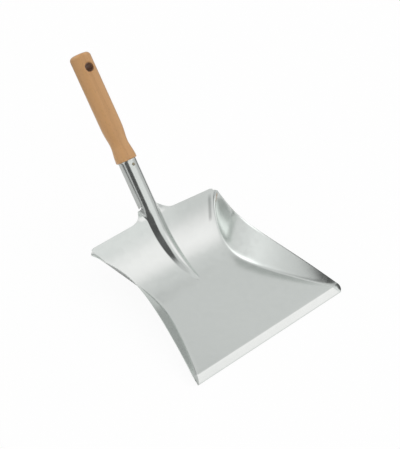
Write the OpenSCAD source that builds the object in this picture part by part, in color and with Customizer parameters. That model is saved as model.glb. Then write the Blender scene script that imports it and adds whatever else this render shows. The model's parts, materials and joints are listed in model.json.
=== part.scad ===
// Hand dust pan pressed from one galvanised steel sheet, with a turned wooden handle.
// The sheet makes the lip, the floor, the curved back, both side walls, the stiffening ridge and
// the rolled socket. The handle's tang sits in the socket and one small nail holds it.
// Frame: X across the pan, +Y from the lip towards the handle, +Z up, in millimetres.

/* [Sheet] */
// Thickness of the sheet
sheet_t = 0.7; // [0.5:0.05:1.2]
// Inside-to-middle radius of the fold between floor and side wall
fold_r = 6; // [3:0.5:9]

/* [Lip and floor] */
// Width across the mouth, fold to fold
mouth_w = 226; // [180:1:280]
// Width of the floor at its narrow waist
waist_w = 128.6; // [100:0.2:160]
// Width across the folds at the back corners
back_w = 192; // [155:1:235]
// Length of the down-turned lip
lip_l = 9.8; // [6:0.1:14]
// Slope of the lip
lip_slope = 32; // [15:1:40]
// Radius of the bend between lip and floor
lip_bend_r = 5; // [1:0.5:6]
// Flat length of the floor, lip bend to curved back
floor_l = 106; // [85:1:130]
// How far behind the flat floor the waist lies
waist_back = 18; // [5:1:30]

/* [Curved back] */
// Radius that the floor curves up with
back_r = 112; // [90:1:135]
// Slope of the upper back and of the handle
back_slope = 50; // [40:1:58]
// Straight part of the back above the curve, at the middle
back_top = 8.9; // [5:0.1:14]
// How much lower the back's edge is at its ends
edge_fall = 3.8; // [0:0.1:6]
// Radius of the back's two top corners
corner_r = 9; // [7:0.5:12]

/* [Side walls] */
// Height of the wall's front end above the lip
wall_front_h = 6; // [4:0.1:9]
// How far the wall's front end leans out
wall_front_out = 3.3; // [1:0.1:6]
// How far the wall's edge stands outside the waist
wall_waist_out = 23.3; // [12:0.1:30]
// How far the wall's back end flares out of the fold
wall_back_out = 4.2; // [2:0.1:6]
// How far the wall's back end stands off the back
wall_back_h = 1.3; // [1:0.1:4]
// How much the wall's edge is crowned above a straight line
wall_crown = 7.5; // [2:0.1:12]
// Radius of the wall's front end
wall_end_r = 8.5; // [5:0.5:12]

/* [Ridge and socket] */
// Outer radius of the socket
socket_r = 11.2; // [9.4:0.1:13.4]
// How far the socket's axis lies behind the back
socket_back = 3.7; // [2:0.1:5]
// Fillet between ridge and back at the socket
ridge_fillet = 3.2; // [2:0.1:5]
// Slope of the ridge's flanks
ridge_flank = 40; // [33:0.5:44]
// Radius of the ridge's crown
crown_r = 8.8; // [3:0.1:10]
// Radius of the ridge's foot
foot_r = 3; // [1:0.1:3]
// Distance from the flat floor's end to the ridge's lower end
ridge_start = 10; // [2:1:30]
// Length from the top of the curve to the socket's rim
socket_l = 81; // [66:1:98]
// Length from the top of the curve to the web's tips beside the socket
neck_l = 20; // [16:0.1:24]
// Width of each relief notch at its round end
notch_w = 2.5; // [1.5:0.1:4]
// How far each notch cuts up past the web's tip
notch_l = 3; // [1:0.1:5]
// How far the flaps' lower edge stands above the web's tip
flap_rise = 1.5; // [1:0.1:4]
// How far the web's tips curl back round the socket
web_curl = 4.8; // [0:0.1:6]
// How far the web's tips spread out
web_spread = 1.2; // [0:0.1:2]
// Fillet of the back's edge where it runs up to the socket
neck_fillet = 22; // [14:0.5:26]
// Half of the open angle at the socket's seam
seam_half = 3; // [1:0.5:8]

/* [Handle] */
// Length of the handle outside the socket
handle_l = 138.3; // [115:0.1:166]
// How far the handle's grip and shoulder stand out over the socket
shoulder_out = 1.9; // [1.6:0.1:3.5]
// How much thinner the grip is than wide, per side
grip_flat = 0.8; // [0:0.1:2]
// Depth of the waist turned near the socket, per side
neck_dip = 2.1; // [1:0.1:3]
// Distance from the socket to that waist
neck_at = 22; // [18:0.5:27]
// Depth of the tang in the socket
tang_l = 45; // [30:1:55]
// Clearance between the tang and the socket's flats
tang_gap = 0.14; // [0.05:0.01:0.3]
// Rounding of the handle's free end
end_r = 5; // [2:0.5:7]
// Rounding of the shoulder's edge
shoulder_r = 1.5; // [0.5:0.1:2]
// Radius of the hanging hole
hole_r = 5.5; // [4:0.1:6.6]
// Distance from the hanging hole to the free end
hole_from_end = 19; // [14:0.5:24]
// Chamfer of the hanging hole, measured from its shallowest edge
hole_chamfer = 0.7; // [0.3:0.1:1.2]

/* [Nail] */
// Distance from the nail to the socket's rim
nail_at = 6.8; // [4:0.1:12]
// Radius of the nail's shank
nail_r = 0.9; // [0.6:0.1:1.3]
// Radius of the nail's head
nail_head_r = 1.9; // [1.4:0.1:2.8]
// Height of the nail's head
nail_head_h = 0.7; // [0.4:0.1:1.2]
// Length of the nail under its head
nail_l = 14; // [10:0.5:18]

/* [Hidden] */
half_t = sheet_t / 2;
zinc = [0.76, 0.79, 0.79];
beech = [0.80, 0.60, 0.40];
brass = [0.55, 0.45, 0.28];

// ---- Lengthwise section of the pan, along the middle of the sheet ----
// The floor falls gently so that the lip's edge and the start of the curve both touch the ground.
lip_rise = lip_l * sin(lip_slope) - half_t * (1 - cos(lip_slope));
function floor_fall(a, steps) = steps == 0 ? a
    : floor_fall(asin((lip_rise - back_r * (1 - cos(a))) / floor_l), steps - 1);
fall = floor_fall(asin(lip_rise / floor_l), 8);
bend_turn = lip_slope + fall;
bend_cut = lip_bend_r * tan(bend_turn / 2);
s_bend = lip_l - bend_cut;
s_floor = s_bend + lip_bend_r * bend_turn * PI / 180;
s_curve = s_floor + floor_l - bend_cut;
s_top = s_curve + back_r * (back_slope + fall) * PI / 180;
function dir(a) = [cos(a), sin(a)];
function turn_from(p, a0, r, da) = p + r * [sin(a0 + da) - sin(a0), cos(a0) - cos(a0 + da)];
p_lip = [0, half_t * cos(lip_slope)];
p_bend = p_lip + s_bend * dir(lip_slope);
p_corner = p_lip + lip_l * dir(lip_slope);
p_floor = p_corner + bend_cut * dir(-fall);
p_curve = p_corner + floor_l * dir(-fall);
p_top = turn_from(p_curve, -fall, back_r, fall + back_slope);
// Point [y, z] and slope of the section at the length s from the lip's edge
function slope_at(s) = s < s_bend ? lip_slope
    : s < s_floor ? lip_slope - (s - s_bend) / lip_bend_r * 180 / PI
    : s < s_curve ? -fall
    : s < s_top ? -fall + (s - s_curve) / back_r * 180 / PI
    : back_slope;
function section(s) = s < s_bend ? p_lip + s * dir(lip_slope)
    : s < s_floor ? p_bend + lip_bend_r * [sin(lip_slope) - sin(slope_at(s)),
                                           cos(slope_at(s)) - cos(lip_slope)]
    : s < s_curve ? p_floor + (s - s_floor) * dir(-fall)
    : s < s_top ? turn_from(p_curve, -fall, back_r, slope_at(s) + fall)
    : p_top + (s - s_top) * dir(back_slope);
// A point x across and h above the sheet's middle at the length s
function on_sheet(s, x, h = 0) = let (p = section(s), a = slope_at(s))
    [x, p[0] - h * sin(a), p[1] + h * cos(a)];

// ---- Plan of the folds and of the walls' edges ----
s_waist = s_curve + waist_back;
// Smaller rounds make the folds and rims turn more sharply at the waist.
fold_front_round = 0.356;
fold_back_round = 0.483;
rim_front_round = 0.33;
rim_back_round = 0.64;
rim_waist_back = 14;
corner_inset = 6;
corner_fall = 2.5;
s_corner = s_top + back_top - edge_fall - corner_r
    + sqrt(corner_r * corner_r - corner_inset * corner_inset);
waist_hw = waist_w / 2;
function flare(q, round) = (sqrt(round * round + q * q) - round) / (sqrt(round * round + 1) - round);
function fold_x(s) = s < s_waist
    ? waist_hw + (mouth_w / 2 - waist_hw) * flare((s_waist - s) / s_waist, fold_front_round)
    : waist_hw + (back_w / 2 - waist_hw)
        * flare((s - s_waist) / (s_corner - s_waist), fold_back_round);
corner_y = section(s_corner)[0];
rim_back = on_sheet(s_corner - corner_fall, back_w / 2 + wall_back_out, wall_back_h);
rim_front = [mouth_w / 2 + wall_front_out, 0, wall_front_h + half_t];
rim_waist_y = section(s_waist)[0] + rim_waist_back;
rim_waist_hw = waist_hw + wall_waist_out;
function rim_x(y) = y < rim_waist_y
    ? rim_waist_hw + (rim_front[0] - rim_waist_hw)
        * flare((rim_waist_y - y) / rim_waist_y, rim_front_round)
    : rim_waist_hw + (rim_back[0] - rim_waist_hw)
        * flare((y - rim_waist_y) / (rim_back[1] - rim_waist_y), rim_back_round);
function rim_point(s) = let (y = section(s)[0] * rim_back[1] / corner_y, q = y / rim_back[1])
    [rim_x(y), y, rim_front[2] + (rim_back[2] - rim_front[2]) * q + 4 * wall_crown * q * (1 - q)];
// The wall's front end is a quarter round that runs down to the lip's corner.
least_share = 0.14;
function end_share(s) = s >= wall_end_r ? 1
    : max(least_share, sqrt(1 - pow(1 - s / wall_end_r, 2)));
function fold_point(s) = on_sheet(s, fold_x(s));
function edge_point(s) = fold_point(s) + (rim_point(s) - fold_point(s)) * end_share(s);
function unit(v) = v / norm(v);
function wall_dir(s) = unit(edge_point(s) - fold_point(s));
most_cut = 0.34;
fold_spread = 2.4;
least_leg = 1.4;
function floor_leg(s) = max(fold_cut(s) / 2, min(fold_cut(s), least_leg));
function fold_cut(s) = min(fold_r * tan(acos(wall_dir(s)[0]) / 2),
                           most_cut * norm(edge_point(s) - fold_point(s)));

// ---- Cross section of the ridge, which becomes the socket ----
tube_mid_r = socket_r - half_t;
ridge_hw = sqrt(pow(tube_mid_r + ridge_fillet, 2) - pow(ridge_fillet + socket_back, 2));
arch_end = atan2(ridge_hw, ridge_fillet + socket_back);
crest_h = tube_mid_r - socket_back;
s_ridge = s_curve + ridge_start;
ridge_min_hw = 2;
nose_h = 0.12;
nose_l = 0.08;
nose_widening = 0.12;
function ridge_share(s) = min(1, max(0, (s - s_ridge) / (s_top - s_ridge)));
function ease(q) = q * q * (3 - 2 * q);
ridge_bow = 0.45;
function ridge_h(s) = let (q = min(1, max(0, (s - s_ridge) / (s_neck - s_ridge)))) crest_h
    * (nose_h * ease(min(1, q / nose_l)) + (1 - nose_h) * (ridge_bow * sin(90 * q) + (1 - ridge_bow) * q));
ridge_belly = 1.2;
function ridge_w(s) = s < s_ridge ? ridge_min_hw + nose_widening * (s_ridge - s)
    : let (q = ridge_share(s)) ridge_belly * 4 * q * (1 - q)
        + sqrt(pow(ridge_min_hw, 2) + (pow(ridge_hw, 2) - pow(ridge_min_hw, 2)) * q);

// Near the socket the web on each side of the ridge curls back and spreads with the rolled flaps.
s_neck = s_top + neck_l;
curl_l = 15;
curl_w = 13;
arch_x = tube_mid_r * sin(arch_end);
function clamp(q) = min(1, max(0, q));
function curl_share(s) = ease(clamp((s - s_neck + curl_l) / curl_l));
function foot_w(s) = ridge_w(s) + web_spread * curl_share(s);
function curl_h(s, x) = -web_curl * curl_share(s) * (x < foot_w(s)
    ? ease(clamp((x - arch_x) / (foot_w(s) - arch_x)))
    : 1 - ease(clamp((x - foot_w(s)) / curl_w)));

// ---- Grid over the sheet: column 0 is the middle, the last one is the wall's edge ----
n_arch = 5;
n_join = n_arch + 1;
n_fillet = 3;
n_plate = 9;
n_fold = 3;
n_wall = 3;
n_flap = 9;
c_fillet = n_arch + n_fillet;
c_plate = c_fillet + n_plate;
c_fold = c_plate + n_fold;
n_half = c_fold + n_wall;
// Sections as [x, height] for column c, at full size: the socket's arch, and the ridge's flat flanks
function arch_xh(c) = c <= n_arch
    ? let (a = arch_end * c / n_arch) [tube_mid_r * sin(a), tube_mid_r * cos(a) - socket_back]
    : let (a = arch_end * (c_fillet - c) / n_fillet)
        [ridge_hw - ridge_fillet * sin(a), ridge_fillet * (1 - cos(a))];
n_crown = 2;
function bow(r, a) = [r * sin(a), r * (1 - cos(a))];
flank_h = crest_h - bow(crown_r + foot_r, ridge_flank)[1];
flank_hw = bow(crown_r + foot_r, ridge_flank)[0] + flank_h / tan(ridge_flank);
flank_top = [bow(crown_r, ridge_flank)[0], crest_h - bow(crown_r, ridge_flank)[1]];
flank_foot = [flank_hw - bow(foot_r, ridge_flank)[0], bow(foot_r, ridge_flank)[1]];
function flank_xh(c) =
    c <= n_crown ? let (b = bow(crown_r, ridge_flank * c / n_crown)) [b[0], crest_h - b[1]]
    : c <= n_arch ? flank_top + (flank_foot - flank_top) * (c - n_crown) / (n_arch - n_crown)
    : let (b = bow(foot_r, ridge_flank * (c_fillet - c) / n_fillet)) [flank_hw - b[0], b[1]];
function ridge_xh(s, c) = let (q = ease(clamp((s - s_top) / neck_l)), b = flank_xh(c))
    arch_xh(c) * q + [b[0] * ridge_hw / flank_hw, b[1]] * (1 - q);
function half_point(s, c) =
    c <= c_fillet ? let (p = ridge_xh(s, c), spread = max(0, c - n_arch) / n_fillet,
                         x = p[0] * ridge_w(s) / ridge_hw + (foot_w(s) - ridge_w(s)) * spread)
        on_sheet(s, x, p[1] * ridge_h(s) / crest_h + curl_h(s, x))
    : c <= c_plate ? let (q = pow((c - c_fillet) / n_plate, 1.5),
                          x0 = foot_w(s), x1 = fold_x(s) - floor_leg(s), x = x0 + (x1 - x0) * q)
        on_sheet(s, x, curl_h(s, x))
    : let (f = fold_point(s), w = wall_dir(s),
           p0 = f - [floor_leg(s), 0, 0], p2 = f + fold_spread * fold_cut(s) * w)
        c <= c_fold
        ? let (q = (c - c_plate) / n_fold) (1 - q) * (1 - q) * p0 + 2 * q * (1 - q) * f + q * q * p2
        : p2 + (edge_point(s) - p2) * (c - c_fold) / n_wall;
// The back's top edge: straight with a slight fall, filleted to the socket, round at the corners
neck_rise = min(neck_l - back_top, neck_fillet);
fillet_x = ridge_hw + web_spread - neck_fillet
    + sqrt(pow(neck_fillet, 2) - pow(neck_fillet - neck_rise, 2));
function edge_s(a) = let (
        plain = s_top + back_top - edge_fall * a / (back_w / 2),
        over = min(max(0, a - back_w / 2 + corner_inset), corner_r - 0.5),
        near = min(max(0, fillet_x + neck_fillet - a), neck_fillet))
    min(s_neck, plain - corner_r + sqrt(corner_r * corner_r - over * over)
        + neck_fillet - sqrt(max(0, neck_fillet * neck_fillet - near * near)));
function column_edge(c) = c <= n_join ? s_neck + notch_l - notch_w / 2
    : c <= c_fillet ? s_neck
    : c <= c_plate ? edge_s(half_point(s_corner, c)[0])
    : edge_s(back_w / 2 + corner_fall * (c - c_plate) / (n_half - c_plate));
edge_list = [for (c = [0:n_half]) column_edge(c)];

n_lip = 3;
n_bend = 2;
n_floor = 9;
n_curve = 16;
n_top = 9;
s_upper = s_top - 17;
function steps(a, b, n) = [for (i = [1:n]) a + (b - a) * i / n];
even_rows = concat([0], steps(0, s_bend, n_lip), steps(s_bend, s_floor, n_bend),
                   steps(s_floor, s_curve, n_floor), steps(s_curve, s_upper, n_curve));
n_even = len(even_rows);
n_rows = n_even + n_top;
n_cols = 2 * n_half + 1;
function row_s(i, c) = i < n_even ? even_rows[i]
    : s_upper + (edge_list[c] - s_upper) * (i - n_even + 1) / n_top;
function mirrored(p, side) = [p[0] * side, p[1], p[2]];
pan_grid = [for (i = [0:n_rows - 1]) let (half = [for (c = [0:n_half]) half_point(row_s(i, c), c)])
    [for (j = [0:n_cols - 1]) mirrored(half[abs(j - n_half)], j < n_half ? -1 : 1)]];

// ---- Grid over the socket: the arch runs on and two flaps close round underneath ----
s_root = s_neck + notch_l + notch_w / 2;
s_flap = s_neck + flap_rise;
root_angle = 76;
root_turn = 30;
flap_corner_r = 6;
s_rim = s_top + socket_l;
n_tube = 6;
n_around = 2 * (n_join + n_flap) + 1;
function tube_angle(m) = let (k = abs(m - n_join - n_flap), side = m < n_join + n_flap ? -1 : 1)
    side * (k <= n_arch ? arch_end * k / n_arch
                        : root_angle + (180 - seam_half - root_angle) * (k - n_join) / n_flap);
function tube_point(s, a) = on_sheet(s, tube_mid_r * sin(a), tube_mid_r * cos(a) - socket_back);
// The flaps' lower edge is rounded at the notch, and at its corners, measured along the sheet
function flap_start(m) = let (
        from_seam = (180 - seam_half - abs(tube_angle(m))) * PI / 180 * tube_mid_r,
        in = max(0, flap_corner_r - from_seam),
        past_root = clamp((abs(tube_angle(m)) - root_angle) / root_turn))
    s_flap + (s_root - s_flap) * pow(1 - past_root, 2)
        + flap_corner_r - sqrt(flap_corner_r * flap_corner_r - in * in);
tube_grid = [for (i = [0:n_tube]) [for (m = [0:n_around - 1])
    let (s = flap_start(m) + (s_rim - flap_start(m)) * i / n_tube) tube_point(s, tube_angle(m))]];

// ---- Normals and the two skins of the sheet ----
function normal_at(g, i, j) = let (
        i0 = max(0, i - 1), i1 = min(len(g) - 1, i + 1),
        j0 = max(0, j - 1), j1 = min(len(g[0]) - 1, j + 1))
    unit(cross(g[i][j1] - g[i][j0], g[i1][j] - g[i0][j]));
function skin(g, side) = [for (i = [0:len(g) - 1]) for (j = [0:len(g[0]) - 1])
    g[i][j] + side * half_t * normal_at(g, i, j)];
n_pan = n_rows * n_cols;
n_mid = n_pan + (n_tube + 1) * n_around;
sheet_points = concat(skin(pan_grid, 1), skin(tube_grid, 1), skin(pan_grid, -1), skin(tube_grid, -1));
function pan_id(i, j) = i * n_cols + j;
function tube_id(i, m) = n_pan + i * n_around + m;
// Cells as [a, b, c, d]: two along the row, then back along the next row
pan_cells = [for (i = [0:n_rows - 2]) for (j = [0:n_cols - 2])
    [pan_id(i, j), pan_id(i, j + 1), pan_id(i + 1, j + 1), pan_id(i + 1, j), j < n_half ? 1 : 0]];
tube_cells = [for (i = [0:n_tube - 1]) for (m = [0:n_around - 2])
    [tube_id(i, m), tube_id(i, m + 1), tube_id(i + 1, m + 1), tube_id(i + 1, m), 0]];
neck_cells = [for (k = [-n_join:n_join - 1]) let (j = n_half + k, m = n_flap + n_join + k)
    [pan_id(n_rows - 1, j), pan_id(n_rows - 1, j + 1), tube_id(0, m + 1), tube_id(0, m), 0]];
function split(q) = q[4] == 1 ? [[q[0], q[3], q[1]], [q[3], q[2], q[1]]]
                              : [[q[0], q[3], q[2]], [q[0], q[2], q[1]]];
upper = [for (q = concat(pan_cells, neck_cells, tube_cells)) for (f = split(q)) f];
lower = [for (f = upper) [f[2] + n_mid, f[1] + n_mid, f[0] + n_mid]];
j_left = n_half - n_join;
j_right = n_half + n_join;
outline = concat(
    [for (j = [0:n_cols - 1]) pan_id(0, j)],
    [for (i = [1:n_rows - 1]) pan_id(i, n_cols - 1)],
    [for (j = [n_cols - 2:-1:j_right]) pan_id(n_rows - 1, j)],
    [for (m = [n_flap + 2 * n_join:n_around - 1]) tube_id(0, m)],
    [for (i = [1:n_tube]) tube_id(i, n_around - 1)],
    [for (m = [n_around - 2:-1:0]) tube_id(n_tube, m)],
    [for (i = [n_tube - 1:-1:0]) tube_id(i, 0)],
    [for (m = [1:n_flap]) tube_id(0, m)],
    [for (j = [j_left:-1:0]) pan_id(n_rows - 1, j)],
    [for (i = [n_rows - 2:-1:1]) pan_id(i, 0)]);
edges = [for (k = [0:len(outline) - 1]) let (p = outline[k], q = outline[(k + 1) % len(outline)])
    for (f = [[p, q, q + n_mid], [p, q + n_mid, p + n_mid]]) f];

// ---- Handle, along the socket's axis with z = 0 at the rim and -y on top ----
rim_centre = on_sheet(s_rim, 0, -socket_back);
grip_hw = socket_r + shoulder_out;
flat_step = max(arch_end / n_arch, root_angle - arch_end, (180 - seam_half - root_angle) / n_flap);
tang_r = (socket_r - sheet_t) * cos(flat_step / 2) - tang_gap;
tang_root = 3;
dip_near = 11.4;
dip_far = 13.5;
function waist_dip(z) = neck_dip * exp(-pow((z - neck_at) / (z < neck_at ? dip_near : dip_far), 2));
function rounding(z) = z < shoulder_r ? shoulder_r - sqrt(shoulder_r * shoulder_r - pow(shoulder_r - z, 2))
    : z > handle_l - end_r ? end_r - sqrt(max(0, end_r * end_r - pow(z - handle_l + end_r, 2)))
    : 0;
function grip_w(z) = grip_hw - waist_dip(z) - rounding(z);
function grip_h(z) = grip_w(z) - grip_flat * ease(min(1, z / flat_from));
n_side = 32;
squareness = 0.92;
flat_from = 60;
stations = concat([for (a = [0:30:90]) shoulder_r * (1 - cos(a))],
                  [for (z = [4:4:44]) z],
                  steps(44, handle_l - end_r, 7),
                  [for (a = [18:18:90]) handle_l - end_r + end_r * sin(a)]);
function power(v, e) = sign(v) * pow(abs(v), e);
function ring(z) = [for (k = [0:n_side - 1]) let (a = 360 * k / n_side)
    [grip_w(z) * power(cos(a), squareness),
     grip_h(z) * power(sin(a), squareness), z]];
handle_points = [for (z = stations) for (p = ring(z)) p];
n_stations = len(stations);
handle_faces = concat(
    [[for (k = [0:n_side - 1]) k]],
    [for (i = [0:n_stations - 2]) for (k = [0:n_side - 1])
        let (a = i * n_side + k, b = i * n_side + (k + 1) % n_side)
        for (f = [[a, a + n_side, b], [b, a + n_side, b + n_side]]) f],
    [[for (k = [n_side - 1:-1:0]) (n_stations - 1) * n_side + k]]);
hole_z = handle_l - hole_from_end;
hole_edge_h = grip_h(hole_z)
    * pow(1 - pow(hole_r / grip_w(hole_z), 2 / squareness), squareness / 2);
hole_len = 2 * (hole_edge_h - hole_chamfer);
nail_clear = 0.1;
pilot_clear = 0.02;

// ---- The origin is on the ground under the middle of the whole pan and handle ----
handle_y = [for (p = handle_points) rim_centre[1] + p[1] * sin(back_slope) + p[2] * cos(back_slope)];
front_y = min([for (p = sheet_points) p[1]]);
middle_y = (front_y + max(handle_y)) / 2;

module seated() {
    translate([0, -middle_y, 0]) children();
}

module on_axis() {
    seated() translate(rim_centre) rotate([back_slope - 90, 0, 0]) children();
}

module nail_place() {
    translate([0, -socket_r, -nail_at]) rotate([90, 0, 0]) children();
}

module pan_sheet() {
    color(zinc) difference() {
        seated() polyhedron(points = sheet_points, faces = concat(upper, lower, edges), convexity = 8);
        on_axis() nail_place()
            translate([0, 0, -3]) cylinder(r = nail_r + nail_clear, h = 6, $fn = 32);
    }
}

module wooden_handle() {
    color(beech) on_axis() difference() {
        union() {
            polyhedron(points = handle_points, faces = handle_faces, convexity = 4);
            translate([0, 0, -tang_l]) cylinder(r = tang_r, h = tang_l + tang_root, $fn = 64);
        }
        translate([0, 0, hole_z]) rotate([90, 0, 0]) hanging_hole();
        nail_place() translate([0, 0, -nail_l - 1])
            cylinder(r = nail_r + pilot_clear, h = nail_l + 6, $fn = 32);
    }
}

module hanging_hole() {
    cylinder(r = hole_r, h = 40, center = true, $fn = 64);
    for (side = [0, 180]) rotate([side, 0, 0]) translate([0, 0, hole_len / 2])
        cylinder(r1 = hole_r, r2 = hole_r + 10, h = 10, $fn = 64);
}

module fixing_nail() {
    color(brass) on_axis() nail_place() rotate_extrude($fn = 32) polygon([
        [0, -nail_l], [nail_r, -nail_l + 2 * nail_r], [nail_r, 0], [nail_head_r, 0],
        [nail_head_r * 0.97, nail_head_h * 0.4], [nail_head_r * 0.7, nail_head_h * 0.85],
        [0, nail_head_h]]);
}

pan_sheet();
wooden_handle();
fixing_nail();
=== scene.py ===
"""Hand dust pan of galvanised sheet with a turned beech handle.

The sheet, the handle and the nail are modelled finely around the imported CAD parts, from the same sizes.
"""

import json
import math

import bpy
from mathutils import Matrix, Vector


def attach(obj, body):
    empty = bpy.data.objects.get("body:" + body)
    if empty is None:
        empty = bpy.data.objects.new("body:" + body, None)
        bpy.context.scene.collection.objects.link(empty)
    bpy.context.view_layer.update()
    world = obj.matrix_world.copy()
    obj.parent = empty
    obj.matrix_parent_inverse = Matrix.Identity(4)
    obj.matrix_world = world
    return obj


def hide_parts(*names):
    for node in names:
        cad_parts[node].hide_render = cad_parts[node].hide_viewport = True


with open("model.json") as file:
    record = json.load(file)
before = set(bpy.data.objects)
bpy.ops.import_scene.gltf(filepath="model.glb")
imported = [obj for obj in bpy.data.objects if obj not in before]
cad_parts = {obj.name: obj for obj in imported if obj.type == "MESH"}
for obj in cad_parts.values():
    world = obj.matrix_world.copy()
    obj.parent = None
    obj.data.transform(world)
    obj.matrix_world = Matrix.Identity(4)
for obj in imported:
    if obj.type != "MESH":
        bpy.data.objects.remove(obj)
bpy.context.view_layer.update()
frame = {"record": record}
bpy.ops.object.select_all(action="DESELECT")

MM = 0.001

# ---- Sizes of the part in millimetres and degrees, as in its CAD source ----
SHEET_T, FOLD_R = 0.7, 6.0
MOUTH_W, WAIST_W, BACK_W = 226.0, 128.6, 192.0
LIP_L, LIP_SLOPE, LIP_BEND_R = 9.8, 32.0, 5.0
FLOOR_L, WAIST_BACK = 106.0, 18.0
BACK_R, BACK_SLOPE, BACK_TOP = 112.0, 50.0, 8.9
EDGE_FALL, CORNER_R, CORNER_INSET, CORNER_FALL = 3.8, 9.0, 6.0, 2.5
WALL_FRONT_H, WALL_FRONT_OUT, WALL_END_R = 6.0, 3.3, 8.5
WALL_WAIST_OUT, RIM_WAIST_BACK, WALL_CROWN = 23.3, 14.0, 7.5
WALL_BACK_OUT, WALL_BACK_H, LEAST_SHARE = 4.2, 1.3, 0.14
FOLD_FRONT_ROUND, FOLD_BACK_ROUND = 0.356, 0.483
RIM_FRONT_ROUND, RIM_BACK_ROUND = 0.33, 0.64
SOCKET_R, SOCKET_BACK, SOCKET_L, SEAM_HALF = 11.2, 3.7, 81.0, 3.0
RIDGE_FILLET, RIDGE_START, RIDGE_MIN_HW = 3.2, 10.0, 2.0
NOSE_H, NOSE_L, NOSE_WIDENING = 0.12, 0.08, 0.12
RIDGE_FLANK, CROWN_R, FOOT_R, RIDGE_BOW = 40.0, 8.8, 3.0, 0.45
RIDGE_BELLY, MOST_CUT, FOLD_SPREAD, LEAST_LEG = 1.2, 0.34, 2.4, 1.4
NECK_L, NECK_FILLET, NOTCH_W, NOTCH_L = 20.0, 22.0, 2.5, 3.0
FLAP_RISE, WEB_CURL, WEB_SPREAD, CURL_L, CURL_W = 1.5, 4.8, 1.2, 15.0, 13.0
ROOT_ANGLE, ROOT_TURN, FLAP_CORNER_R = 76.0, 30.0, 6.0
HANDLE_L, SHOULDER_OUT, GRIP_FLAT, FLAT_FROM, SQUARENESS = 138.3, 1.9, 0.8, 60.0, 0.92
NECK_DIP, NECK_AT, DIP_NEAR, DIP_FAR = 2.1, 22.0, 11.4, 13.5
TANG_L, TANG_GAP, END_R, SHOULDER_R = 45.0, 0.14, 5.0, 1.5
HOLE_R, HOLE_FROM_END, HOLE_CHAMFER = 5.5, 19.0, 0.7
NAIL_AT, NAIL_R, NAIL_HEAD_R, NAIL_HEAD_H, NAIL_L = 6.8, 0.9, 1.9, 0.7, 14.0
NAIL_CLEAR, PILOT_CLEAR = 0.1, 0.02

# ---- Sizes of the visible pieces only ----
UPPER_L = 17.0
TANG_BEVEL, TANG_RING_SHARE = 0.8, 0.5
EDGE_BREAK, WELD, HANDLE_WELD, THINNEST = 0.14, 0.02, 0.004, 0.002
DRILL_L, NAIL_DRILL_L, CONE_L = 40.0, 6.0, 10.0
NAIL_POINT_SHARE = 0.1
GRIP_WAIST_L, PLATE_GROWTH, CORNER_MARGIN = 48.0, 1.5, 0.5
# The nail's domed head as shares of its height and radius
HEAD_PROFILE = ((0.2, 1.0), (0.42, 0.97), (0.65, 0.86), (0.82, 0.7), (0.93, 0.48), (1.0, 0.2))

# How many steps each stretch is cut into: across the sheet, along it, round the socket, along the grip
ARCH_STEPS, JOIN_STEPS, FILLET_STEPS, PLATE_STEPS, FOLD_STEPS, RIM_STEPS = 18, 4, 8, 26, 14, 14
LIP_STEPS, BEND_STEPS, FLOOR_STEPS, BACK_STEPS, UPPER_STEPS = 5, 6, 26, 54, 24
NECK_STEPS, TUBE_STEPS, FLAP_STEPS = 4, 28, 30
TANG_STEPS, WAIST_STEPS, GRIP_STEPS, RING_STEPS = 16, 48, 60, 112

# Columns across half the sheet, counted as in the CAD source: crest, fillet foot, plate, fold, rim
CROWN, ARCH, JOIN, FILLET, PLATE, FOLD, RIM = 2, 5, 6, 8, 17, 20, 23
FLAP_COLUMNS = 9


def sind(angle):
    return math.sin(math.radians(angle))


def cosd(angle):
    return math.cos(math.radians(angle))


def clamp(share):
    return min(1.0, max(0.0, share))


def ease(share):
    return share * share * (3 - 2 * share)


def between(a, b, share):
    return a + (b - a) * share


# ---- Lengthwise section of the pan ----
HALF_T = SHEET_T / 2
lip_rise = LIP_L * sind(LIP_SLOPE) - HALF_T * (1 - cosd(LIP_SLOPE))
FALL = math.degrees(math.asin(lip_rise / FLOOR_L))
for _ in range(8):
    FALL = math.degrees(math.asin((lip_rise - BACK_R * (1 - cosd(FALL))) / FLOOR_L))
BEND_CUT = LIP_BEND_R * math.tan(math.radians(LIP_SLOPE + FALL) / 2)
S_BEND = LIP_L - BEND_CUT
S_FLOOR = S_BEND + LIP_BEND_R * math.radians(LIP_SLOPE + FALL)
S_CURVE = S_FLOOR + FLOOR_L - BEND_CUT
S_TOP = S_CURVE + BACK_R * math.radians(BACK_SLOPE + FALL)


def along(point, angle, length):
    return point[0] + length * cosd(angle), point[1] + length * sind(angle)


def turned(point, start, radius, turn):
    """The end of an arc that leaves point at the slope start and turns upwards."""
    return (point[0] + radius * (sind(start + turn) - sind(start)),
            point[1] + radius * (cosd(start) - cosd(start + turn)))


P_LIP = (0.0, HALF_T * cosd(LIP_SLOPE))
P_BEND = along(P_LIP, LIP_SLOPE, S_BEND)
P_CORNER = along(P_LIP, LIP_SLOPE, LIP_L)
P_FLOOR = along(P_CORNER, -FALL, BEND_CUT)
P_CURVE = along(P_CORNER, -FALL, FLOOR_L)
P_TOP = turned(P_CURVE, -FALL, BACK_R, FALL + BACK_SLOPE)


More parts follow.
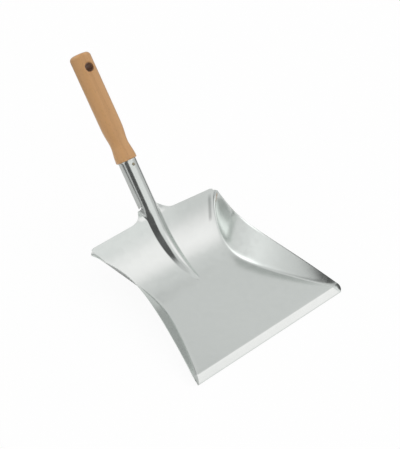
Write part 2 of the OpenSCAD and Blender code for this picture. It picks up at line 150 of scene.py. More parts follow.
def section(s):
    """Where the sheet's middle is at the length s from the lip's edge: (y, z, slope)."""
    if s < S_BEND:
        return (*along(P_LIP, LIP_SLOPE, s), LIP_SLOPE)
    if s < S_FLOOR:
        slope = LIP_SLOPE - math.degrees((s - S_BEND) / LIP_BEND_R)
        return (P_BEND[0] + LIP_BEND_R * (sind(LIP_SLOPE) - sind(slope)),
                P_BEND[1] + LIP_BEND_R * (cosd(slope) - cosd(LIP_SLOPE)), slope)
    if s < S_CURVE:
        return (*along(P_FLOOR, -FALL, s - S_FLOOR), -FALL)
    if s < S_TOP:
        turn = math.degrees((s - S_CURVE) / BACK_R)
        return (*turned(P_CURVE, -FALL, BACK_R, turn), turn - FALL)
    return (*along(P_TOP, BACK_SLOPE, s - S_TOP), BACK_SLOPE)


def on_sheet(s, x, h=0.0):
    """The point x across and h above the sheet's middle at the length s."""
    y, z, slope = section(s)
    return Vector((x, y - h * sind(slope), z + h * cosd(slope)))


# ---- Folds and rims in plan ----
S_WAIST = S_CURVE + WAIST_BACK
S_CORNER = S_TOP + BACK_TOP - EDGE_FALL - CORNER_R + math.sqrt(CORNER_R ** 2 - CORNER_INSET ** 2)
CORNER_Y = section(S_CORNER)[0]
RIM_BACK = on_sheet(S_CORNER - CORNER_FALL, BACK_W / 2 + WALL_BACK_OUT, WALL_BACK_H)
RIM_FRONT_X = MOUTH_W / 2 + WALL_FRONT_OUT
RIM_FRONT_Z = WALL_FRONT_H + HALF_T
RIM_WAIST_Y = section(S_WAIST)[0] + RIM_WAIST_BACK
RIM_WAIST_X = WAIST_W / 2 + WALL_WAIST_OUT


def flare(share, roundness):
    """0 to 1 along a hyperbola that leaves its waist flat and ends straight."""
    return (math.hypot(roundness, share) - roundness) / (math.hypot(roundness, 1) - roundness)


def fold_x(s):
    """How far from the middle the fold's corner line is."""
    if s < S_WAIST:
        return WAIST_W / 2 + (MOUTH_W - WAIST_W) / 2 * flare((S_WAIST - s) / S_WAIST, FOLD_FRONT_ROUND)
    share = (s - S_WAIST) / (S_CORNER - S_WAIST)
    return WAIST_W / 2 + (BACK_W - WAIST_W) / 2 * flare(share, FOLD_BACK_ROUND)


def rim_x(y):
    """How far from the middle the wall's upper edge is."""
    if y < RIM_WAIST_Y:
        share = (RIM_WAIST_Y - y) / RIM_WAIST_Y
        return between(RIM_WAIST_X, RIM_FRONT_X, flare(share, RIM_FRONT_ROUND))
    share = (y - RIM_WAIST_Y) / (RIM_BACK.y - RIM_WAIST_Y)
    return between(RIM_WAIST_X, RIM_BACK.x, flare(share, RIM_BACK_ROUND))


def rim_point(s):
    share = section(s)[0] / CORNER_Y
    y = share * RIM_BACK.y
    return Vector((rim_x(y), y, between(RIM_FRONT_Z, RIM_BACK.z, share)
                   + 4 * WALL_CROWN * share * (1 - share)))


def wall(s):
    """The fold's corner line, the wall's edge, the wall's direction and how much the fold cuts off."""
    end = 1.0 if s >= WALL_END_R else max(LEAST_SHARE, math.sqrt(1 - (1 - s / WALL_END_R) ** 2))
    corner = on_sheet(s, fold_x(s))
    edge = corner.lerp(rim_point(s), end)
    way = (edge - corner).normalized()
    cut = min(FOLD_R * math.tan(math.acos(way.x) / 2), MOST_CUT * (edge - corner).length)
    return corner, edge, way, cut


# ---- Ridge and neck ----
TUBE_R = SOCKET_R - HALF_T
RIDGE_HW = math.sqrt((TUBE_R + RIDGE_FILLET) ** 2 - (RIDGE_FILLET + SOCKET_BACK) ** 2)
ARCH_END = math.degrees(math.atan2(RIDGE_HW, RIDGE_FILLET + SOCKET_BACK))
CREST_H = TUBE_R - SOCKET_BACK
S_RIDGE = S_CURVE + RIDGE_START
S_NECK = S_TOP + NECK_L
S_ROOT = S_NECK + NOTCH_L + NOTCH_W / 2
S_RIM = S_TOP + SOCKET_L
ARCH_X = TUBE_R * sind(ARCH_END)


def ridge_h(s):
    """The ridge crest's height over the sheet at the length s."""
    share = clamp((s - S_RIDGE) / (S_NECK - S_RIDGE))
    rise = RIDGE_BOW * sind(90 * share) + (1 - RIDGE_BOW) * share
    return CREST_H * (NOSE_H * ease(min(1.0, share / NOSE_L)) + (1 - NOSE_H) * rise)


def ridge_w(s):
    """Half the ridge's width at the length s."""
    if s < S_RIDGE:
        return RIDGE_MIN_HW + NOSE_WIDENING * (S_RIDGE - s)
    share = clamp((s - S_RIDGE) / (S_TOP - S_RIDGE))
    return (4 * RIDGE_BELLY * share * (1 - share)
            + math.sqrt(RIDGE_MIN_HW ** 2 + (RIDGE_HW ** 2 - RIDGE_MIN_HW ** 2) * share))


def curl_share(s):
    """How far the dip beside the neck has grown at the length s."""
    return ease(clamp((s - S_NECK + CURL_L) / CURL_L))


def foot_w(s):
    """Half the ridge's width with the spread beside the neck."""
    return ridge_w(s) + WEB_SPREAD * curl_share(s)


def curl_h(s, x):
    """How far the back's edge dips beside the neck."""
    foot = foot_w(s)
    share = (ease(clamp((x - ARCH_X) / (foot - ARCH_X))) if x < foot
             else 1 - ease(clamp((x - foot) / CURL_W)))
    return -WEB_CURL * curl_share(s) * share


def bow(radius, angle):
    """How far an arc of this radius has gone sideways and fallen after this angle from its top."""
    return Vector((radius * sind(angle), radius * (1 - cosd(angle))))


CAPS = bow(CROWN_R + FOOT_R, RIDGE_FLANK)
FLANK_HW = CAPS.x + (CREST_H - CAPS.y) / math.tan(math.radians(RIDGE_FLANK))


def arch_xh(c):
    """The socket's arch and its fillet, as x and height for the column c."""
    if c <= ARCH:
        b = bow(TUBE_R, ARCH_END * c / ARCH)
        return Vector((b.x, CREST_H - b.y))
    b = bow(RIDGE_FILLET, ARCH_END * (FILLET - c) / (FILLET - ARCH))
    return Vector((RIDGE_HW - b.x, b.y))


def flank_xh(c):
    """The ridge with its flat flanks, as x and height for the column c."""
    crown, foot = bow(CROWN_R, RIDGE_FLANK), bow(FOOT_R, RIDGE_FLANK)
    if c <= CROWN:
        b = bow(CROWN_R, RIDGE_FLANK * c / CROWN)
        return Vector((b.x, CREST_H - b.y))
    if c <= ARCH:
        share = (c - CROWN) / (ARCH - CROWN)
        return Vector((between(crown.x, FLANK_HW - foot.x, share),
                       between(CREST_H - crown.y, foot.y, share)))
    b = bow(FOOT_R, RIDGE_FLANK * (FILLET - c) / (FILLET - ARCH))
    return Vector((FLANK_HW - b.x, b.y))


def sheet_point(s, c):
    """The sheet's middle at the length s and the column c of one half."""
    if c <= FILLET:
        arch, flank = arch_xh(c), flank_xh(c)
        flank.x *= RIDGE_HW / FLANK_HW
        x, h = flank.lerp(arch, ease(clamp((s - S_TOP) / NECK_L)))
        x = x * ridge_w(s) / RIDGE_HW
        x += (foot_w(s) - ridge_w(s)) * max(0.0, c - ARCH) / (FILLET - ARCH)
        return on_sheet(s, x, h * ridge_h(s) / CREST_H + curl_h(s, x))
    corner, edge, way, cut = wall(s)
    floor_leg = max(cut / 2, min(cut, LEAST_LEG))
    if c <= PLATE:
        x = between(foot_w(s), corner.x - floor_leg, ((c - FILLET) / (PLATE - FILLET)) ** PLATE_GROWTH)
        return on_sheet(s, x, curl_h(s, x))
    start, end = corner - Vector((floor_leg, 0, 0)), corner + FOLD_SPREAD * cut * way
    if c <= FOLD:
        share = (c - PLATE) / (FOLD - PLATE)
        return (1 - share) ** 2 * start + 2 * share * (1 - share) * corner + share ** 2 * end
    return end.lerp(edge, (c - FOLD) / (RIM - FOLD))


NECK_RISE = min(NECK_L - BACK_TOP, NECK_FILLET)
FILLET_X = (RIDGE_HW + WEB_SPREAD - NECK_FILLET
            + math.sqrt(NECK_FILLET ** 2 - (NECK_FILLET - NECK_RISE) ** 2))


def edge_s(x):
    """Length along the sheet to the back's top edge, x across."""
    over = min(max(0.0, x - BACK_W / 2 + CORNER_INSET), CORNER_R - CORNER_MARGIN)
    near = min(max(0.0, FILLET_X + NECK_FILLET - x), NECK_FILLET)
    plain = S_TOP + BACK_TOP - EDGE_FALL * x / (BACK_W / 2)
    return min(S_NECK, plain - CORNER_R + math.sqrt(CORNER_R ** 2 - over ** 2)
               + NECK_FILLET - math.sqrt(max(0.0, NECK_FILLET ** 2 - near ** 2)))


def column_end(c):
    """Length along the sheet to where the column c ends."""
    if c <= JOIN + 1:
        return between(S_NECK + NOTCH_L - NOTCH_W / 2, S_NECK, ease(clamp(c - JOIN)))
    if c <= FILLET:
        return S_NECK
    if c <= PLATE:
        return edge_s(sheet_point(S_CORNER, c).x)
    return edge_s(BACK_W / 2 + CORNER_FALL * (c - PLATE) / (RIM - PLATE))


def tube_point(s, angle):
    """The socket's middle at the length s and this angle from its crest."""
    return on_sheet(s, TUBE_R * sind(angle), TUBE_R * cosd(angle) - SOCKET_BACK)


def flap_start(angle):
    """Length along the sheet to the flap's lower edge at this angle from the crest."""
    from_seam = math.radians(180 - SEAM_HALF - angle) * TUBE_R
    inside = max(0.0, FLAP_CORNER_R - from_seam)
    past_root = clamp((angle - ROOT_ANGLE) / ROOT_TURN)
    return (between(S_NECK + FLAP_RISE, S_ROOT, (1 - past_root) ** 2)
            + FLAP_CORNER_R - math.sqrt(FLAP_CORNER_R ** 2 - inside ** 2))


# ---- Placing: the record's mount says where the handle's hole is, so it seats everything ----
hole_mount = next(m for m in frame["record"]["mounts"] if m["name"] == "hanging_hole")
rim_centre = on_sheet(S_RIM, 0, -SOCKET_BACK)
SEAT_Y = hole_mount["pos_m"][1] / MM - rim_centre.y - (HANDLE_L - HOLE_FROM_END) * cosd(BACK_SLOPE)
SEAT = Vector((0, SEAT_Y, 0))
RIM_AT = (rim_centre + SEAT) * MM
HANDLE_TURN = (math.radians(BACK_SLOPE - 90), 0, 0)


# ---- Modelling tools ----
def only(*pieces):
    """Selects these pieces and nothing else; the first one is active."""
    bpy.ops.object.select_all(action="DESELECT")
    for piece in pieces:
        piece.select_set(True)
    bpy.context.view_layer.objects.active = pieces[0]


def in_edit(piece, work):
    """Runs work in edit mode on the whole piece."""
    only(piece)
    bpy.ops.object.mode_set(mode="EDIT")
    bpy.ops.mesh.select_all(action="SELECT")
    work()
    bpy.ops.object.mode_set(mode="OBJECT")


def finish_with(piece, kind, **settings):
    """Adds a modifier and applies it."""
    only(piece)
    bpy.ops.object.modifier_add(type=kind)
    modifier = piece.modifiers[-1]
    for name, setting in settings.items():
        setattr(modifier, name, setting)
    bpy.ops.object.modifier_apply(modifier=modifier.name)


def formed_grid(name, rows):
    """A grid with one vertex for each point of rows, given in millimetres."""
    bpy.ops.mesh.primitive_grid_add(x_subdivisions=len(rows[0]) - 1, y_subdivisions=len(rows) - 1)
    piece = bpy.context.object
    piece.name = piece.data.name = name
    places = [axis * MM for row in rows for point in row for axis in point]
    piece.data.vertices.foreach_set("co", places)
    piece.data.update()
    return piece


def joined(first, *others):
    """Joins pieces into the first and merges the vertices that lie on each other."""
    only(first, *others)
    bpy.ops.object.join()
    in_edit(first, lambda: bpy.ops.mesh.remove_doubles(threshold=WELD * MM))
    return first


def spread(start, end, count):
    """count values after start, the last of them end."""
    return [between(start, end, (k + 1) / count) for k in range(count)]


def mirrored(half):
    """A whole row from its right half, which begins on the middle line."""
    return [Vector((-p.x, p.y, p.z)) for p in half[:0:-1]] + half


def seated(row):
    return [point + SEAT for point in row]


# ---- The sheet: pan, walls and ridge, then the neck, then the rolled socket ----
arch_columns = spread(0, ARCH, ARCH_STEPS)
columns = ([0.0] + arch_columns + spread(ARCH, JOIN, JOIN_STEPS) + spread(JOIN, FILLET, FILLET_STEPS)
           + spread(FILLET, PLATE, PLATE_STEPS) + spread(PLATE, FOLD, FOLD_STEPS)
           + spread(FOLD, RIM, RIM_STEPS))
S_UPPER = S_TOP - UPPER_L
lengths = ([0.0] + spread(0, S_BEND, LIP_STEPS) + spread(S_BEND, S_FLOOR, BEND_STEPS)
           + spread(S_FLOOR, S_CURVE, FLOOR_STEPS) + spread(S_CURVE, S_UPPER, BACK_STEPS))
column_ends = [column_end(c) for c in columns]
sheet_rows = [[sheet_point(s, c) for c in columns] for s in lengths]
sheet_rows += [[sheet_point(between(S_UPPER, end, share), c) for c, end in zip(columns, column_ends)]
               for share in spread(0, 1, UPPER_STEPS)]
pan_sheet = formed_grid("dust_pan_sheet", [seated(mirrored(row)) for row in sheet_rows])

joint_angles = ([ARCH_END * c / ARCH for c in [0.0] + arch_columns]
                + spread(ARCH_END, ROOT_ANGLE, JOIN_STEPS))
flap_angles = spread(ROOT_ANGLE, 180 - SEAM_HALF, FLAP_STEPS)
neck_count = len(joint_angles)
neck_start = sheet_rows[-1][:neck_count]
neck_end = [tube_point(flap_start(angle), angle) for angle in joint_angles]
neck_rows = [[a.lerp(b, share) for a, b in zip(neck_start, neck_end)]
             for share in [0.0] + spread(0, 1, NECK_STEPS)]
neck = formed_grid("neck", [seated(mirrored(row)) for row in neck_rows])
tube_rows = [[tube_point(between(flap_start(angle), S_RIM, share), angle)
              for angle in joint_angles + flap_angles] for share in [0.0] + spread(0, 1, TUBE_STEPS)]
socket = formed_grid("socket", [seated(mirrored(row)) for row in tube_rows])
joined(pan_sheet, neck, socket)
finish_with(pan_sheet, "SOLIDIFY", thickness=SHEET_T * MM, offset=0, use_even_offset=True,
            use_quality_normals=True)
finish_with(pan_sheet, "BEVEL", width=EDGE_BREAK * MM, segments=2, limit_method="ANGLE",
            angle_limit=math.radians(50))


# ---- The handle: one lathe profile from the tang's end to the free end ----
GRIP_HW = SOCKET_R + SHOULDER_OUT
flat_step = max(ARCH_END / ARCH, ROOT_ANGLE - ARCH_END, (180 - SEAM_HALF - ROOT_ANGLE) / FLAP_COLUMNS)
TANG_R = (SOCKET_R - SHEET_T) * cosd(flat_step / 2) - TANG_GAP


def grip_radii(z):
    """The grip's half width and half height at the height z over the socket's rim."""
    dip = NECK_DIP * math.exp(-((z - NECK_AT) / (DIP_NEAR if z < NECK_AT else DIP_FAR)) ** 2)
    rounding = 0.0
    if z < SHOULDER_R:
        rounding = SHOULDER_R - math.sqrt(SHOULDER_R ** 2 - (SHOULDER_R - z) ** 2)
    if z > HANDLE_L - END_R:
        rounding = END_R - math.sqrt(max(0.0, END_R ** 2 - (z - HANDLE_L + END_R) ** 2))
    wide = GRIP_HW - dip - rounding
    return wide, wide - GRIP_FLAT * ease(min(1.0, z / FLAT_FROM))


def plain(value):
    return value


def squared(value):
    """Makes a ring slightly square when it shapes its cosines and sines."""
    return math.copysign(abs(value) ** SQUARENESS, value)


def handle_ring(z, wide, high, shape):
    angles = [360 * k / RING_STEPS for k in range(RING_STEPS + 1)]
    return [Vector((wide * shape(cosd(angle)), high * shape(sind(angle)), z)) for angle in angles]


grip_z = ([SHOULDER_R * (1 - cosd(angle)) for angle in range(0, 91, 15)]
          + spread(SHOULDER_R, GRIP_WAIST_L, WAIST_STEPS)
          + spread(GRIP_WAIST_L, HANDLE_L - END_R, GRIP_STEPS)
          + [HANDLE_L - END_R + END_R * sind(angle) for angle in range(10, 91, 10)])
handle_rows = [handle_ring(-TANG_L, radius, radius, plain)
               for radius in (0, TANG_R * TANG_RING_SHARE, TANG_R - TANG_BEVEL)]
handle_rows += [handle_ring(z, TANG_R, TANG_R, plain)
                for z in [TANG_BEVEL - TANG_L] + spread(TANG_BEVEL - TANG_L, 0, TANG_STEPS)]
handle_rows += [handle_ring(z, *grip_radii(z), squared) for z in grip_z]
end_wide, end_high = grip_radii(HANDLE_L)
handle_rows += [handle_ring(HANDLE_L, end_wide * share, end_high * share, squared)
                for share in (0.85, 0.7, 0.5, 0.3, 0.1, 0)]
wooden_handle = formed_grid("turned_beech_handle", handle_rows)


def close_up():
    """Closes the seam and the poles, and takes out slivers that a drill leaves."""
    bpy.ops.mesh.remove_doubles(threshold=HANDLE_WELD * MM)
    bpy.ops.mesh.dissolve_degenerate(threshold=THINNEST * MM)
    bpy.ops.mesh.normals_make_consistent(inside=False)


in_edit(wooden_handle, close_up)


def cutter(radius, length, place, turn, flare_from=None):
    """A straight drill. With flare_from it has a 45 degree countersink at both ends of that length."""
    bpy.ops.mesh.primitive_cylinder_add(vertices=64, radius=radius * MM, depth=length * MM)
    drill = bpy.context.object
    if flare_from:
        for side in (1, -1):
            bpy.ops.mesh.primitive_cone_add(
                vertices=64, radius1=radius * MM, radius2=(radius + CONE_L) * MM, depth=CONE_L * MM,
                location=(0, 0, side * (flare_from + CONE_L) / 2 * MM),
                rotation=(0 if side == 1 else math.pi, 0, 0))
            cone = bpy.context.object
            finish_with(drill, "BOOLEAN", operation="UNION", object=cone, solver="EXACT")
            bpy.data.objects.remove(cone)
    place_piece(drill, place, turn)
    return drill


def place_piece(piece, place, turn):
    """Turns and moves a piece and puts that into its mesh."""
    piece.location, piece.rotation_euler = place, turn
    only(piece)
    bpy.ops.object.transform_apply(location=True, rotation=True, scale=True)


def drill_out(piece, drill):
    finish_with(piece, "BOOLEAN", operation="DIFFERENCE", object=drill, solver="EXACT")
    bpy.data.objects.remove(drill)


hole_z = HANDLE_L - HOLE_FROM_END
hole_wide, hole_high = grip_radii(hole_z)
hole_edge_h = hole_high * (1 - (HOLE_R / hole_wide) ** (2 / SQUARENESS)) ** (SQUARENESS / 2)
hole_len = 2 * (hole_edge_h - HOLE_CHAMFER)
ACROSS = (math.pi / 2, 0, 0)
NAIL_FROM = (0, -SOCKET_R * MM, -NAIL_AT * MM)
drill_out(wooden_handle, cutter(HOLE_R, DRILL_L, (0, 0, hole_z * MM), ACROSS, hole_len))
drill_out(wooden_handle, cutter(NAIL_R + PILOT_CLEAR, 2 * (NAIL_L + 1), NAIL_FROM, ACROSS))
in_edit(wooden_handle, close_up)
place_piece(wooden_handle, RIM_AT, HANDLE_TURN)
nail_hole = cutter(NAIL_R + NAIL_CLEAR, NAIL_DRILL_L, NAIL_FROM, ACROSS)
place_piece(nail_hole, RIM_AT, HANDLE_TURN)
drill_out(pan_sheet, nail_hole)

# ---- The nail: shank with a blunt point, extruded out into a domed head ----
SHANK_L = NAIL_L - 2 * NAIL_R
bpy.ops.mesh.primitive_cylinder_add(vertices=48, radius=NAIL_R * MM, depth=SHANK_L * MM,
                                    location=(0, 0, -SHANK_L / 2 * MM))
nail = bpy.context.object
nail.name = nail.data.name = "domed_nail"
only(nail)
bpy.ops.object.transform_apply(location=True, rotation=True, scale=True)


def select_end(mesh, z):
    """Selects the end face at height z, in edit mode."""
    bpy.ops.object.mode_set(mode="OBJECT")
    for part in (mesh.vertices, mesh.edges, mesh.polygons):
        part.foreach_set("select", [False] * len(part))
    for face in mesh.polygons:
        face.select = abs(face.normal.z) > 0.9 and abs(face.center.z - z * MM) < 0.01 * MM
    bpy.ops.object.mode_set(mode="EDIT")
    bpy.ops.mesh.select_mode(type="FACE")


def push_out(rise, scale):
    """Extrudes the selected end face by rise in millimetres and scales it."""
    bpy.ops.mesh.extrude_region_move(TRANSFORM_OT_translate={"value": (0, 0, rise * MM)})
    bpy.ops.transform.resize(value=(scale, scale, 1))


def shape_nail():
    select_end(nail.data, 0)
    push_out(0, NAIL_HEAD_R / NAIL_R)
    height, radius = 0.0, NAIL_HEAD_R
    for share_h, share_r in HEAD_PROFILE:
        push_out(share_h * NAIL_HEAD_H - height, share_r * NAIL_HEAD_R / radius)
        height, radius = share_h * NAIL_HEAD_H, share_r * NAIL_HEAD_R
    select_end(nail.data, -SHANK_L)
    push_out(-2 * NAIL_R, NAIL_POINT_SHARE)


in_edit(nail, shape_nail)
place_piece(nail, NAIL_FROM, ACROSS)
place_piece(nail, RIM_AT, HANDLE_TURN)

for piece, angle in ((pan_sheet, 38), (wooden_handle, 38), (nail, 50)):
    only(piece)
    bpy.ops.object.shade_smooth_by_angle(angle=math.radians(angle))


# ---- Finishes ----
class Wire:
    """A socket in a node tree. Sums, differences and products of wires add their Math nodes."""

    def __init__(self, tree, socket=None):
        self.tree, self.socket = tree, socket

    def node(self, kind, settings=None, values=None, out=0):
        """Adds a node: its settings first, then the values or links of its sockets."""
        node = self.tree.nodes.new(kind)
        for name, setting in (settings or {}).items():
            setattr(node, name, setting)
        for name, value in (values or {}).items():
            if isinstance(value, Wire):
                self.tree.links.new(value.socket, node.inputs[name])
            else:
                node.inputs[name].default_value = value
        return Wire(self.tree, node.outputs[out]) if node.outputs else None

    def maths(self, operation, first, second):
        return self.node("ShaderNodeMath", {"operation": operation}, {0: first, 1: second})

    def __add__(self, other):
        return self.maths("ADD", self, other)

    def __sub__(self, other):
        return self.maths("SUBTRACT", self, other)

    def __rsub__(self, other):
        return self.maths("SUBTRACT", other, self)

    def __mul__(self, other):
        return self.maths("MULTIPLY", self, other)

    __radd__, __rmul__ = __add__, __mul__

    def rise(self, low, high):
        """0 below low, 1 above high, smooth between; with low above high it falls instead."""
        return self.node("ShaderNodeMapRange", {"interpolation_type": "SMOOTHSTEP"},
                         {"Value": self, "From Min": low, "From Max": high})

    def noise(self, scale, detail=2.0, roughness=0.5):
        """Noise of that many waves to the metre at the places that this wire carries."""
        return self.node("ShaderNodeTexNoise", {}, {"Vector": self, "Scale": scale, "Detail": detail,
                                                    "Roughness": roughness})

    def axis(self, number):
        """One coordinate of a vector, 0 to 2 for X to Z."""
        return self.node("ShaderNodeSeparateXYZ", {}, {"Vector": self}, number)

    def length(self):
        return self.node("ShaderNodeVectorMath", {"operation": "LENGTH"}, {0: self}, 1)

    def scaled(self, factors):
        return self.node("ShaderNodeVectorMath", {"operation": "MULTIPLY"}, {0: self, 1: factors})


def tint(start, share, first, second):
    """A colour between two others."""
    return start.node("ShaderNodeMix", {"data_type": "RGBA"},
                      {0: share, 6: first if isinstance(first, Wire) else (*first, 1),
                       7: second if isinstance(second, Wire) else (*second, 1)}, 2)


def new_finish(name):
    """A material with an empty tree, the wire that starts its nodes, and its places on the object."""
    material = bpy.data.materials.new(name)
    material.use_nodes = True
    material.node_tree.nodes.clear()
    start = Wire(material.node_tree)
    return material, start, start.node("ShaderNodeTexCoord", out="Object")


def relief(start, strength, distance, height):
    """The surface's direction over a fine relief; distance is in metres."""
    return start.node("ShaderNodeBump", {}, {"Strength": strength, "Distance": distance, "Height": height})


def surface(start, values):
    shader = start.node("ShaderNodeBsdfPrincipled", {}, values)
    start.node("ShaderNodeOutputMaterial", {}, {"Surface": shader})


def galvanised():
    """Zinc-coated sheet: soft mottling with faint spangle, shallow waves and a little fine grain, with
    painted shade on the back's upper right and a painted dark line beside the right fold.
    """
    material, start, place = new_finish("galvanised_sheet_finish")
    spangle = start.node("ShaderNodeTexVoronoi", {"feature": "F1"},
                         {"Vector": place, "Scale": 150.0, "Randomness": 1.0}, "Color")
    flake = start.node("ShaderNodeSeparateColor", {}, {"Color": spangle}, 0)
    cloud = place.noise(38.0, 3.0, 0.55)
    fine = place.noise(1400.0, 2.0, 0.6)
    tone = 0.5 * cloud + 0.3 * flake + 0.2 * fine
    # A dark line painted beside the right fold, up the back: painted shade standing in for the reflection of
    # a shallow crease there
    across, depth = place.axis(0), place.axis(1)
    off_fold = across - 0.79 * depth
    painted_crease_line = (off_fold.rise(0.0625, 0.0660) * off_fold.rise(0.0705, 0.0675)
             * depth.rise(0.002, 0.008) * depth.rise(0.028, 0.022))
    color = tint(start, tone, (0.745, 0.78, 0.757), (0.835, 0.87, 0.847))
    # Painted shade: the back's upper right is darkened, standing in for the dimmer light that it reflects
    painted_back_shade = across.rise(-0.02, 0.06) * depth.rise(-0.01, 0.02)
    color = tint(start, painted_back_shade * 0.15, color, (0.0, 0.0, 0.0))
    # Painted dark line where the shallow crease's reflection falls
    color = tint(start, painted_crease_line * 0.42, color, (0.12, 0.13, 0.125))
    roughness = 0.13 + 0.06 * cloud + 0.04 * flake
    height = 0.2 * place.noise(24.0, 2.0, 0.4) + 0.012 * place.noise(260.0, 2.0) + 0.004 * fine
    normal = relief(start, 0.3, 0.6 * MM, height)
    surface(start, {"Base Color": color, "Metallic": 1.0, "Roughness": roughness, "Normal": normal})
    return material


def beech():
    """Lightly oiled beech with its grain and flecks along the handle, painted lighter on its left side and
    with painted shade inside the hole.
    """
    material, start, place = new_finish("turned_beech_finish")
    local = start.node("ShaderNodeMapping", {"vector_type": "TEXTURE"},
                       {"Vector": place, "Location": RIM_AT, "Rotation": HANDLE_TURN})
    broad = local.scaled((70, 70, 5)).noise(1.0, 2.0, 0.5)
    lines = local.scaled((520, 520, 9)).noise(1.0, 3.0, 0.6)
    fleck = local.scaled((1900, 1900, 260)).noise(1.0, 1.0, 0.5).rise(0.62, 0.72)
    tone = 0.65 * broad + 0.35 * lines
    wood = tint(start, tone.rise(0.3, 0.7), (0.72, 0.365, 0.135), (0.90, 0.515, 0.225))
    # Painted light: the handle's left side is lightened, where the room's dark left leaves it too dim
    wood = tint(start, 0.75 * local.axis(0).rise(0.0, -10 * MM), wood, (1.0, 0.565, 0.25))
    color = tint(start, 0.3 * fleck, wood, (0.36, 0.17, 0.07))
    # Painted shade inside the hanging hole: the colour darkens within the hole's radius
    from_hole = start.node("ShaderNodeVectorMath", {"operation": "MULTIPLY_ADD"},
                           {0: local, 1: (1, 0, 1), 2: (0, 0, -hole_z * MM)})
    painted_hole_shade = from_hole.length().rise((HOLE_R + 0.5) * MM, HOLE_R * MM)
    color = tint(start, 0.6 * painted_hole_shade, color, (0.20, 0.09, 0.04))
    height = 0.6 * lines - 0.5 * fleck
    normal = relief(start, 0.3, 0.1 * MM, height)
    surface(start, {"Base Color": color, "Roughness": 0.42 + 0.12 * lines, "Normal": normal,
                    "Specular IOR Level": 0.5, "Coat Weight": 0.3, "Coat Roughness": 0.25,
                    "Sheen Weight": 0.5, "Sheen Roughness": 0.35})
    return material


def dull_brass():
    """The nail's brownish, tarnished metal."""
    material, start, place = new_finish("dull_brass_finish")
    cloud = place.noise(900.0, 2.0)
    color = tint(start, cloud.rise(0.35, 0.65), (0.30, 0.26, 0.17), (0.46, 0.42, 0.33))
    normal = relief(start, 0.3, 0.1 * MM, cloud)
    surface(start, {"Base Color": color, "Metallic": 0.8, "Roughness": 0.35 + 0.15 * cloud, "Normal": normal})
    return material


for piece, node, slot, make in (
        (pan_sheet, "pan_sheet", "galvanised_sheet", galvanised),
        (wooden_handle, "wooden_handle", "beech_wood", beech),
        (nail, "fixing_nail", "nail_metal", dull_brass)):
    finish = make()
    piece.data.materials.clear()
    piece.data.materials.append(finish)
    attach(piece, "root")
    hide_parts(node)

# ---- Studio: pale floor and soft surroundings ----
bpy.ops.mesh.primitive_circle_add(vertices=64, radius=5, fill_type="NGON")
floor = bpy.context.object
floor.name = "studio_floor"
material, start, place = new_finish("pale_floor")
# Pale to look at; in reflections it darkens away from the object
ground = tint(start, place.length().rise(0.30, 0.48), (0.86, 0.86, 0.86), (0.25, 0.25, 0.25))
paint = start.node("ShaderNodeBsdfDiffuse", {}, {"Color": ground})
glow = start.node("ShaderNodeEmission", {}, {"Color": (1, 1, 1, 1), "Strength": 1.045})
pale = start.node("ShaderNodeBsdfDiffuse", {}, {"Color": (0.9, 0.9, 0.9, 1)})
seen = start.node("ShaderNodeMixShader", {}, {0: 0.12, 1: glow, 2: pale})
direct = start.node("ShaderNodeLightPath", out="Is Camera Ray")
blend = start.node("ShaderNodeMixShader", {}, {0: direct, 1: paint, 2: seen})
start.node("ShaderNodeOutputMaterial", {}, {"Surface": blend})
floor.data.materials.append(material)

world = bpy.data.worlds.new("studio")
bpy.context.scene.world = world
world.use_nodes = True
world.node_tree.nodes.clear()
start = Wire(world.node_tree)
way = start.node("ShaderNodeTexCoord", out="Generated")
x, y, z = (way.axis(number) for number in range(3))


def facing(aim, outer, inner):
    """1 within inner degrees of this direction, 0 beyond outer degrees."""
    dot = start.node("ShaderNodeVectorMath", {"operation": "DOT_PRODUCT"},
                     {0: way, 1: Vector(aim).normalized()}, 1)
    return dot.rise(cosd(outer), cosd(inner))


def beyond_angle(angle, low, high):
    """Rises from 0 at the angle low to 1 at high, both in degrees."""
    return angle.rise(math.radians(low), math.radians(high))


# Round lamps and cards: direction, outer and inner angle
softbox = facing((0.58, -0.29, 0.76), 24, 9)
near_lip = facing((0.735, -0.156, 0.66), 26, 13)
strip = facing((-0.74, 0.31, 0.61), 12, 7)
overhead = facing((0.22, 0.49, 0.84), 20, 9)
crest_card = facing((-0.36, 0.02, 0.93), 9, 4)

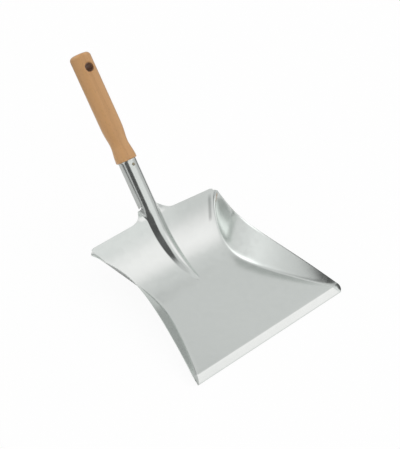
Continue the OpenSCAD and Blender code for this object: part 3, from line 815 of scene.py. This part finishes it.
# A tall dark flag on the left, which leans at its upper end
FLAG_AZ, FLAG_LEAN = -147, 7
flag_x, flag_y = cosd(FLAG_AZ), sind(FLAG_AZ)
aside = y * flag_x - x * flag_y
turn = aside.maths("ARCTAN2", aside, x * flag_x + y * flag_y)
leaning = turn + z.rise(0.62, 0.84) * math.radians(FLAG_LEAN)
flag = beyond_angle(leaning, -22, -17) * beyond_angle(turn, 29, 22) * z.rise(0.915, 0.84)
flag_depth = 0.88 - 0.05 * z.rise(0.4, 0.7)

# Broad parts of the room, each with the heights that it is darker or lighter at
left = (0 - x).rise(0.1, 0.35)
right = (0.9 * x + 0.43 * y).rise(0.20, 0.55)
beyond = (0.6 * x + 0.8 * y).rise(0.5, 0.85)
front = (-0.5 * x - 0.87 * y).rise(0.15, 0.45) * z.rise(0.72, 0.60)
left_low = left * z.rise(0.26, 0.04)
left_high = left * z.rise(0.66, 0.74) * z.rise(0.91, 0.84)
beside_flag = left * beyond_angle(turn, -36, -27) * beyond_angle(turn, 30, 5)
top = z.rise(0.90, 0.97) * y.rise(0.22, 0.04)
blotch = left * (way.noise(5.0, 2.0, 0.6).rise(0.35, 0.65) - 0.5)

lamps = 0.19 * softbox + 0.15 * near_lip + 0.65 * strip + 0.06 * front
cards = 0.22 * overhead + 0.10 * crest_card + 0.10 * beside_flag + 0.14 * top
walls = (0.10 * right + (0.12 * right + 0.16 * beyond) * z.rise(0.60, 0.42)
         + 0.21 * left_low + 0.20 * left_high)
level = (0.80 + lamps - cards - walls + 0.16 * blotch) * (1 - flag * flag_depth)
hue = tint(start, 0.7 * softbox + 0.5 * near_lip, (1.0, 1.0, 1.0), (1.0, 0.97, 0.978))
background = start.node("ShaderNodeBackground", {}, {"Color": hue, "Strength": level})
start.node("ShaderNodeOutputWorld", {}, {"Surface": background})

# ---- Camera ----
CAMERA_AT = Vector((-0.5883, -0.6752, 0.7595))
CAMERA_AIM = Vector((0.037, -0.012, 0.040))
CAMERA_ROLL, CAMERA_LENS, CAMERA_SENSOR = 2.17, 76.73, 36
bpy.ops.object.camera_add(location=CAMERA_AT)
camera = bpy.context.object
way_to = (CAMERA_AIM - CAMERA_AT).to_track_quat("-Z", "Y").to_matrix()
camera.rotation_euler = (way_to @ Matrix.Rotation(math.radians(CAMERA_ROLL), 3, "Z")).to_euler()
camera.data.lens = CAMERA_LENS
camera.data.sensor_width = CAMERA_SENSOR
bpy.context.scene.camera = camera
bpy.context.scene.view_settings.view_transform = "Standard"
